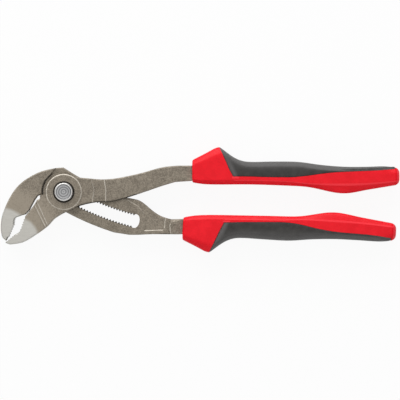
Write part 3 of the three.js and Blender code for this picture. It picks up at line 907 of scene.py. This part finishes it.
def along_at(ring_at, out):
    """Where a ring lies along the grip: rings lean with the pad's slanted front edge"""
    lean = ring_at / PAD_FROM
    if ring_at > PAD_FROM:
        lean = max(0, 1 - (ring_at - PAD_FROM) / (SLANT_ENDS - PAD_FROM)) ** 2
    return ring_at + lean * (straight_edge(PAD_FRONT, out) - PAD_FROM)


def section(grip, ring_at, inset):
    """Half of one ring, as (along, out, height), from the outer side over the top to the inner side"""
    outer = read_edge(GRIP_OUTER, ring_at)
    for _ in range(SETTLING_ROUNDS):
        outer = read_edge(GRIP_OUTER, along_at(ring_at, outer))
    inner = read_edge(GRIP_INNER, ring_at)
    half = GRIP_DEPTH / 2 - read_edge(GRIP_SLIMMING, ring_at)
    pad_edge = read_edge(grip["pad_edge"], max(ring_at, PAD_FROM))
    outer_bevel = OUTER_BEVEL + COLLAR_BEVEL * max(0, outer - COLLAR_FROM)
    inner_bevel = read_edge(INNER_BEVEL, ring_at) - inner

    def height(out):
        outer_share = max(0, 1 - (outer - out) / outer_bevel)
        inner_share = max(0, 1 - (out - inner) / inner_bevel)
        return half - OUTER_DROP * outer_share - INNER_DROP * inner_share

    def shares(bevel, span, near_seam):
        line = min(max(bevel / span, BEVEL_LEAST), BEVEL_MOST)
        after = line + BEVEL_LINE
        flat = SEAM_SHARE - line - BEVEL_LINE
        rest = [after + flat * i / FLAT_PARTS for i in range(1, FLAT_PARTS)]
        return [FIRST_SHARE, line / 2, line - BEVEL_LINE, after, *rest, *near_seam]

    pad_span = outer - pad_edge
    red_span = pad_edge - inner
    outs = [outer - pad_span * share for share in shares(outer_bevel, pad_span, (SEAM_SHARE, 1))]
    outs += [inner + red_span * share for share in reversed(shares(inner_bevel, red_span, ()))]
    rows = [(outer, (half - OUTER_DROP) * share) for share in SIDE_SHARES]
    rows += [(out, height(out)) for out in outs]
    rows += [(inner, (half - INNER_DROP) * share) for share in reversed(SIDE_SHARES)]
    middle = (outer + inner) / 2
    across = 1 - 2 * inset / (outer - inner)
    deep = 1 - inset / half
    drawn = [(middle + (out - middle) * across, high * deep) for out, high in rows]
    return [(along_at(ring_at, out), out, high) for out, high in drawn]


def plan_place(grip, along, out):
    """A place along and out from a grip, as x and y"""
    turn = math.pi * min(along, GRIP_LENGTH) / GRIP_LENGTH
    bent = out - grip["bow"] * math.sin(turn) - grip["wave"] * math.sin(2 * turn)
    tail = grip["tail"] * max(0, along - TAIL_START) / (GRIP_LENGTH - TAIL_START)
    tilt = math.radians(grip["tilt"])
    x, y = along + tail, grip["side"] * bent
    return (
        grip["place"][0] + x * math.cos(tilt) - y * math.sin(tilt),
        grip["place"][1] + x * math.sin(tilt) + y * math.cos(tilt),
    )


def painted_light_share(along, out, column):
    """How much painted light the pad gets: on its outer facet, by its front edge and at its rear end
    """
    facet = FACET_PAINTED_LIGHT[column] if column < len(FACET_PAINTED_LIGHT) else 0
    past = along - straight_edge(PAD_FRONT, out)
    front = FRONT_PAINTED_LIGHT * min(max((PAINTED_LIGHT_FRONT - past) / FRONT_LIGHT_OVER, 0), 1)
    rear_from, rear_to = PAINTED_LIGHT_REAR
    rear = REAR_PAINTED_LIGHT * min(max((along - rear_from) / (rear_to - rear_from), 0), 1)
    return max(facet, front, rear)


def grip_sheet(name, grip, rings, half_columns, lift):
    """A grid of faces laid over the grip, its rings along it and its columns round it"""
    rows = []
    for ring_at, inset, past in rings:
        top = [(along + past, out, high) for along, out, high in section(grip, ring_at, inset)]
        below = [(along, out, -high) for along, out, high in top[1:]]
        rows.append([*reversed(below[:half_columns]), *top[: half_columns + 1]])
    last_row, last_column = len(rows) - 1, 2 * half_columns
    bpy.ops.object.select_all(action="DESELECT")
    bpy.ops.mesh.primitive_grid_add(x_subdivisions=last_column, y_subdivisions=last_row, size=1)
    sheet = bpy.context.object
    sheet.name = name
    layers = {"painted_pad_light": "POINT", "in_pad": "FACE", "painted_highlight": "FACE"}
    for layer, domain in layers.items():
        sheet.data.attributes.new(layer, "FLOAT", domain)
    painted_pad_light, in_pad, painted_highlight = [sheet.data.attributes[layer] for layer in layers]
    pad_first, pad_last = PAD_RINGS
    for face in sheet.data.polygons:
        row = (face.center.y + 0.5) * last_row
        column = abs((face.center.x + 0.5) * last_column - half_columns)
        in_pad.data[face.index].value = float(pad_first < row < pad_last and column < PAD_COLUMN)
        # painted highlight on the red: a line along the inner bevel, a patch by the pad's front
        # corner, and the tail end
        on_line = row > pad_first + 1 and abs(column - HIGHLIGHT_COLUMN) < MARGIN
        by_front = pad_first < row < pad_first + SEAM_HIGHLIGHT_RINGS
        by_seam = by_front and PAD_COLUMN < column < PAD_COLUMN + SEAM_HIGHLIGHT_COLUMNS
        at_end = row > pad_last + 1
        painted_highlight.data[face.index].value = float(on_line or by_seam or at_end)
    for corner in sheet.data.vertices:
        row = round((corner.co.y + 0.5) * last_row)
        column = round((corner.co.x + 0.5) * last_column)
        along, out, high = rows[row][column]
        on_edge = row in (0, last_row) or column in (0, last_column)
        x, y = plan_place(grip, along, out)
        raised = lift(along, out, on_edge) * 2 * high / GRIP_DEPTH
        painted_pad_light.data[corner.index].value = painted_light_share(along, out, abs(column - half_columns))
        corner.co = Vector((x, y, MID_PLANE + high + raised)) * mm
    return sheet


def middle_of(edge):
    """The middle of an edge, rounded so that it can be looked up again"""
    middle = (edge.verts[0].co + edge.verts[1].co) / 2
    return tuple(round(number, KEY_DIGITS) for number in middle)


def add_sleeve(grip, plastic):
    """The red sleeve: a closed skin with the pad's recess sunk in it and a socket for the arm"""
    rings = [(0, MOUTH_INSET, 0)] + [(ring_at, 0, 0) for ring_at in RING_STEPS[1:]]
    rings += [(PAD_TO, inset, past) for past, inset in TAIL_ROUND]
    half_columns = len(section(grip, PAD_TO, 0)) - 1
    sleeve = grip_sheet(f"{grip['name']}_sleeve", grip, rings, half_columns, lambda *_: 0)
    open_for_edit(sleeve)
    bpy.ops.mesh.select_all(action="SELECT")
    bpy.ops.mesh.remove_doubles(threshold=TOUCHING * mm)
    for front in (True, False):
        bpy.ops.mesh.select_all(action="DESELECT")
        shape = bmesh.from_edit_mesh(sleeve.data)
        middle = (grip["place"][0] + GRIP_LENGTH / 2) * mm
        for edge in shape.edges:
            edge.select_set(edge.is_boundary and (edge.verts[0].co.x < middle) == front)
        bmesh.update_edit_mesh(sleeve.data)
        bpy.ops.mesh.edge_face_add()
    face_outwards()
    bpy.ops.mesh.select_mode(type="FACE")
    shape = bmesh.from_edit_mesh(sleeve.data)
    in_pad = shape.faces.layers.float["in_pad"]
    rim = set()
    for face in shape.faces:
        face.select_set(face[in_pad] > 0.5)
    for edge in shape.edges:
        if len({face[in_pad] > 0.5 for face in edge.link_faces}) == 2:
            rim.add(middle_of(edge))
    bmesh.update_edit_mesh(sleeve.data)
    bpy.ops.mesh.extrude_region()
    shape = bmesh.from_edit_mesh(sleeve.data)
    sunk = {}
    for face in shape.faces:
        if face.select:
            for corner in face.verts:
                sunk[corner] = sunk.get(corner, Vector()) + face.normal
    for corner, normal in sunk.items():
        corner.co -= normal.normalized() * RECESS * mm
    crease = shape.edges.layers.float.new("crease_edge")
    for edge in shape.edges:
        edge[crease] = 1.0 if middle_of(edge) in rim else 0.0
    bmesh.update_edit_mesh(sleeve.data)
    close_edit()
    apply_modifier(sleeve, "SUBSURF", levels=SKIN_LEVELS, render_levels=SKIN_LEVELS)
    bpy.ops.mesh.primitive_cube_add(size=1)
    socket = bpy.context.object
    for corner in socket.data.vertices:
        along = SOCKET_DEEP if corner.co.x > 0 else -SOCKET_DEEP
        x, y = plan_place(grip, along, corner.co.y * SOCKET_WIDTH)
        corner.co = Vector((x, y, MID_PLANE + corner.co.z * (grip["arm"] + SOCKET_GAP))) * mm
    turn_outwards(socket)
    apply_modifier(sleeve, "BOOLEAN", operation="DIFFERENCE", object=socket, solver="EXACT")
    bpy.data.objects.remove(socket)
    sleeve.data.materials.clear()
    sleeve.data.materials.append(plastic)
    smooth(sleeve, SLEEVE_SMOOTH)
    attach(sleeve, grip["body"])
    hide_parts(f"{grip['name']}_shell")


def pad_lift(along, out, on_edge):
    """How far the pad's skin stands above the sleeve's: sunk at its seam and behind the thumb stop"""
    past = along - straight_edge(PAD_FRONT, out)
    ramp = PAD_SUNK * max(0, 1 - past / PAD_RAMP) ** 2
    return (-SEAM_SUNK if on_edge else PAD_PROUD) - ramp


def add_pad(grip, rubber):
    """The grey pad: a skin over the recess, thickened inwards"""
    rings = [(ring_at, 0, 0) for ring_at in RING_STEPS[PAD_RINGS[0]:-1]]
    rings.append((PAD_TO, PAD_END_SUNK, 0))
    pad = grip_sheet(f"{grip['name']}_soft_pad", grip, rings, PAD_COLUMN, pad_lift)
    turn_outwards(pad)
    apply_modifier(
        pad, "SUBSURF", levels=SKIN_LEVELS, render_levels=SKIN_LEVELS,
        boundary_smooth="PRESERVE_CORNERS",
    )
    apply_modifier(pad, "SOLIDIFY", thickness=PAD_THICKNESS * mm, offset=-1)
    pad.data.materials.append(rubber)
    smooth(pad, PAD_SMOOTH)
    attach(pad, grip["body"])
    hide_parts(f"{grip['name']}_pad")


def moulded(material, shader, place, scale, strength, distance):
    """Fine grain and slow unevenness of a moulded surface, which also bump it"""
    fine = noise(material, place, scale, detail=4, roughness=0.65)
    soft = noise(material, place, scale / SOFT_SPREAD)
    relief = sums(material, "ADD", fine, sums(material, "MULTIPLY", soft, SOFT_RELIEF))
    material.node_tree.links.new(bumped(material, relief, strength, distance), shader.inputs["Normal"])
    return fine, soft


def red_plastic():
    plastic, shader, place = finish_for("red_sleeve_plastic")
    links = plastic.node_tree.links
    fine, soft = moulded(plastic, shader, place, scale=1400, strength=0.25, distance=0.05)
    flow = weighed(plastic, soft, RED_SOFT_SHARE, fine, RED_FINE_SHARE)
    tone = remap(plastic, flow, span=RED_SPAN, onto=(0, 1))
    # painted highlight, read from the attribute
    painted_highlight = plastic.node_tree.nodes.new("ShaderNodeAttribute")
    painted_highlight.attribute_name = "painted_highlight"
    skin = mixed(plastic, tone, RED_DEEP, RED_BRIGHT)
    links.new(mixed(plastic, painted_highlight.outputs["Fac"], skin, RED_PAINTED_HIGHLIGHT), shader.inputs["Base Color"])
    rough = remap(plastic, flow, span=(0.3, 0.7), onto=RED_ROUGHNESS)
    links.new(rough, shader.inputs["Roughness"])
    shader.inputs["Specular IOR Level"].default_value = RED_SPECULAR
    return plastic


def grey_rubber():
    rubber, shader, place = finish_for("grey_pad_rubber")
    links = rubber.node_tree.links
    fine, soft = moulded(rubber, shader, place, scale=2100, strength=0.45, distance=0.08)
    flow = weighed(rubber, soft, GREY_SOFT_SHARE, fine, GREY_FINE_SHARE)
    tone = remap(rubber, flow, span=GREY_SPAN, onto=(0, 1))
    # painted light on the pad, read from the attribute
    painted_light = rubber.node_tree.nodes.new("ShaderNodeAttribute")
    painted_light.attribute_name = "painted_pad_light"
    unpainted_colour = mixed(rubber, tone, GREY_DEEP, GREY_PALE)
    links.new(mixed(rubber, painted_light.outputs["Fac"], unpainted_colour, GREY_PAINTED_LIGHT), shader.inputs["Base Color"])
    rough = remap(rubber, flow, span=(0.3, 0.7), onto=GREY_ROUGHNESS)
    links.new(rough, shader.inputs["Roughness"])
    shader.inputs["Specular IOR Level"].default_value = GREY_SPECULAR
    shader.inputs["Sheen Weight"].default_value = GREY_SHEEN
    shader.inputs["Sheen Roughness"].default_value = GREY_SHEEN_ROUGHNESS
    return rubber


red_sleeve = red_plastic()
soft_rubber = grey_rubber()
grips = [
    {"name": "upper_grip", "body": "upper_handle", "side": 1, "place": (80.5, 11.8), "tilt": 0,
     "bow": 0, "wave": 0, "tail": 0, "arm": 10.4,
     "pad_edge": [
         (25.6, -2.1), (37, -2.2), (46, -2.5), (55, -2.6), (63, -2.6), (72, -1.8), (81, -0.5),
         (90, 0.5), (99, 0.9), (108, 1.3), (117, 1.7), (127, 2.6),
     ]},
    {"name": "lower_grip", "body": "lower_handle", "side": -1, "place": (74.6, -21.8), "tilt": -2.3,
     "bow": 1, "wave": 0.7, "tail": 3.8, "arm": 8.8,
     "pad_edge": [
         (25.6, -2.5), (38, -3.0), (47, -3.4), (57, -4.0), (66, -4.4), (75, -3.6), (84, -2.0),
         (94, -0.8), (103, -0.3), (111, 0.0), (119, 0.6), (127, 1.8),
     ]},
]
for grip in grips:
    add_sleeve(grip, red_sleeve)
    add_pad(grip, soft_rubber)

# Table and light: a white table that shows almost pure white, with a faint shadow, under a broad
# softbox overhead, one at the far side, a weaker one at the near side, and pale light all round.
CAMERA_OVER = (85.6, -5.05)
CAMERA_HEIGHT = 1500
FRAME_WIDTH = 252.4
SENSOR = 36
TABLE_SIZE = 6
TABLE_UNDER = 0.2
TABLE_PAINT = (0.8, 0.8, 0.8, 1)
TABLE_GLOW = 0.93
LIT_PLACE = (0.085, 0, 0)
OVERHEAD_PLACE = (0.085, 0, 1.9)
OVERHEAD_SIZE = 2
OVERHEAD_WATTS = 9.5
FAR_SIDE_PLACE = (-0.25, 1.05, 0.62)
FAR_SIDE_WATTS = 18
NEAR_SIDE_PLACE = (0.2, -1.05, 0.62)
NEAR_SIDE_WATTS = 3
SOFTBOX_SIZE = (1.8, 1.0)
ROOM_LIGHT = 0.32

camera_place = [number * mm for number in (*CAMERA_OVER, CAMERA_HEIGHT)]
bpy.ops.object.camera_add(location=camera_place, rotation=(0, 0, 0))
camera = bpy.context.object
camera.data.lens = SENSOR * (CAMERA_HEIGHT - MID_PLANE) / FRAME_WIDTH
camera.data.sensor_width = SENSOR
bpy.context.scene.camera = camera

bpy.ops.mesh.primitive_plane_add(size=TABLE_SIZE, location=(0, 0, 0))
table = bpy.context.object
table.name = "table"
for corner in table.data.vertices:
    corner.co.z -= TABLE_UNDER * mm
white = bpy.data.materials.new("white_table")
white.use_nodes = True
nodes, links = white.node_tree.nodes, white.node_tree.links
nodes.remove(nodes["Principled BSDF"])
paint = nodes.new("ShaderNodeBsdfDiffuse")
paint.inputs["Color"].default_value = TABLE_PAINT
glow = nodes.new("ShaderNodeEmission")
ray = nodes.new("ShaderNodeLightPath")
seen = sums(white, "MAXIMUM", ray.outputs["Is Camera Ray"], ray.outputs["Is Glossy Ray"])
seen = sums(white, "MAXIMUM", seen, ray.outputs["Is Transmission Ray"])
blend = nodes.new("ShaderNodeMixShader")
links.new(sums(white, "MULTIPLY", seen, TABLE_GLOW), blend.inputs["Fac"])
links.new(paint.outputs["BSDF"], blend.inputs[1])
links.new(glow.outputs["Emission"], blend.inputs[2])
links.new(blend.outputs["Shader"], nodes["Material Output"].inputs["Surface"])
table.data.materials.append(white)

bpy.ops.object.light_add(type="AREA", location=OVERHEAD_PLACE)
overhead = bpy.context.object.data
overhead.size = OVERHEAD_SIZE
overhead.energy = OVERHEAD_WATTS
for place, watts in ((FAR_SIDE_PLACE, FAR_SIDE_WATTS), (NEAR_SIDE_PLACE, NEAR_SIDE_WATTS)):
    bpy.ops.object.light_add(type="AREA", location=place)
    softbox = bpy.context.object
    aim = Vector(LIT_PLACE) - softbox.location
    softbox.rotation_euler = aim.to_track_quat("-Z", "Y").to_euler()
    softbox.data.shape = "RECTANGLE"
    softbox.data.size, softbox.data.size_y = SOFTBOX_SIZE
    softbox.data.energy = watts

room = bpy.data.worlds.new("room")
room.use_nodes = True
room.node_tree.nodes["Background"].inputs["Color"].default_value = (1, 1, 1, 1)
room.node_tree.nodes["Background"].inputs["Strength"].default_value = ROOM_LIGHT
bpy.context.scene.world = room
bpy.context.scene.view_settings.view_transform = "Standard"
